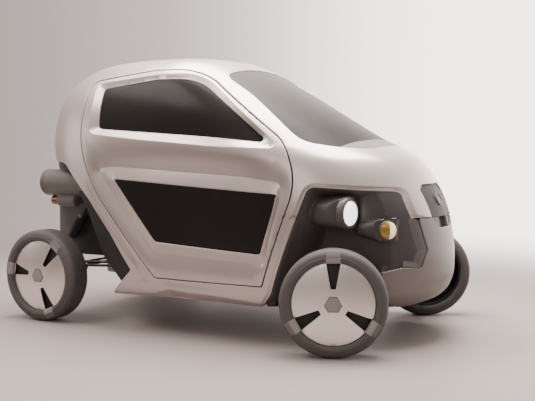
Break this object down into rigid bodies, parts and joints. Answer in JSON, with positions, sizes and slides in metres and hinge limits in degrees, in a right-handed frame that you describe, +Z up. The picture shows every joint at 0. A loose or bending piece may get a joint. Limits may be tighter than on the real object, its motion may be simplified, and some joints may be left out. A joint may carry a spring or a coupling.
{
  "type": "two-seat electric city car",
  "caption": "Compact electric two-seater with exposed wheels, rounded cabin, side doors with upper and lower windows, steerable front wheels and a rear hatch.",
  "frame": {"origin": "on the ground under the middle of the overall length, on the car's middle plane", "axes": "+X forward, +Y to the car's left, +Z up"},
  "size_m": [2.652, 1.678, 1.6169],
  "materials": {
    "body_paint": "warm silver pearl paint, satin gloss",
    "tinted_glass": "very dark tinted glass",
    "screen_glass": "lightly tinted laminated glass",
    "pale_trim": "pale moulded plastic",
    "dark_plastic": "dark warm grey moulded plastic",
    "cabin_plastic": "soft-touch black moulding",
    "grey_steel": "grey painted steel",
    "cast_alloy": "as-cast alloy",
    "seat_cloth": "dark grey woven cloth",
    "lamp_white": "clear lens over a white lamp",
    "lamp_amber": "amber lens",
    "lamp_red": "deep red lens",
    "black_steel": "black painted steel",
    "tyre_rubber": "dark grey rubber",
    "wheel_silver": "satin silver paint"
  },
  "bodies": {
    "body": {"side_frame_right": "body_paint", "side_frame_left": "body_paint", "roof_panel": "body_paint", "front_clip": "body_paint", "nose_panel": "body_paint", "front_bumper": "body_paint", "windscreen": "screen_glass", "cowl_plate": "pale_trim", "floor_pan": "dark_plastic", "battery_pack": "grey_steel", "firewall": "dark_plastic", "front_inner_body": "dark_plastic", "rear_bulkhead": "dark_plastic", "rear_lower_body": "dark_plastic", "dashboard": "cabin_plastic", "steering_column": "cabin_plastic", "seat_right": "seat_cloth", "seat_left": "seat_cloth", "headlight_pods": "dark_plastic", "headlight_lenses": "lamp_white", "indicator_lamps": "lamp_amber", "rear_pods": "dark_plastic", "rear_lamps": "lamp_red", "drive_unit": "cast_alloy", "drive_shafts": "black_steel", "rear_hub_carriers": "cast_alloy", "rear_suspension_arms": "black_steel", "front_suspension_arms": "black_steel"},
    "door_right": {"door_right": "body_paint", "door_glass_right": "tinted_glass"},
    "door_left": {"door_left": "body_paint", "door_glass_left": "tinted_glass"},
    "tailgate": {"tailgate": "body_paint", "rear_window": "tinted_glass"},
    "steering_wheel": {"steering_wheel": "cabin_plastic"},
    "knuckle_front_right": {"knuckle_front_right": "cast_alloy"},
    "knuckle_front_left": {"knuckle_front_left": "cast_alloy"},
    "wheel_front_right": {"tyre_front_right": "tyre_rubber", "wheel_front_right": "wheel_silver"},
    "wheel_front_left": {"tyre_front_left": "tyre_rubber", "wheel_front_left": "wheel_silver"},
    "wheel_rear_right": {"tyre_rear_right": "tyre_rubber", "wheel_rear_right": "wheel_silver"},
    "wheel_rear_left": {"tyre_rear_left": "tyre_rubber", "wheel_rear_left": "wheel_silver"}
  },
  "joints": [
    {"name": "steer_right", "type": "hinge", "parent": "body", "child": "knuckle_front_right", "pos_m": [0.934, -0.668, 0.28], "axis": [0, 0, 1], "range_deg": [-49.8, 2.2]},
    {"name": "steer_left", "type": "hinge", "parent": "body", "child": "knuckle_front_left", "pos_m": [0.934, 0.668, 0.28], "axis": [0, 0, 1], "range_deg": [-49.8, 2.2]},
    {"name": "steering_wheel_turn", "type": "hinge", "parent": "body", "child": "steering_wheel", "pos_m": [0.374, 0.285, 0.93], "axis": [0.9135, 0, -0.4067], "range_deg": [-27, 598]},
    {"name": "roll_front_right", "type": "hinge", "parent": "knuckle_front_right", "child": "wheel_front_right", "pos_m": [0.934, -0.668, 0.28], "axis": [-0.4035, 0.915, 0], "continuous": true},
    {"name": "roll_front_left", "type": "hinge", "parent": "knuckle_front_left", "child": "wheel_front_left", "pos_m": [0.934, 0.668, 0.28], "axis": [-0.4035, 0.915, 0], "continuous": true},
    {"name": "roll_rear_right", "type": "hinge", "parent": "body", "child": "wheel_rear_right", "pos_m": [-1.046, -0.657, 0.28], "axis": [0, 1, 0], "continuous": true},
    {"name": "roll_rear_left", "type": "hinge", "parent": "body", "child": "wheel_rear_left", "pos_m": [-1.046, 0.657, 0.28], "axis": [0, 1, 0], "continuous": true},
    {"name": "door_right_hinge", "type": "hinge", "parent": "body", "child": "door_right", "pos_m": [0.679, -0.655, 0.7], "axis": [0, 0, 1], "range_deg": [0, 65]},
    {"name": "door_left_hinge", "type": "hinge", "parent": "body", "child": "door_left", "pos_m": [0.679, 0.655, 0.7], "axis": [0, 0, -1], "range_deg": [0, 65]},
    {"name": "tailgate_hinge", "type": "hinge", "parent": "body", "child": "tailgate", "pos_m": [-1.068, 0, 1.482], "axis": [0, 1, 0], "range_deg": [0, 70]}
  ],
  "couplings": [
    {"joint": "steer_left", "follows": "steer_right", "ratio": 1},
    {"joint": "steering_wheel_turn", "follows": "steer_right", "ratio": -12}
  ]
}
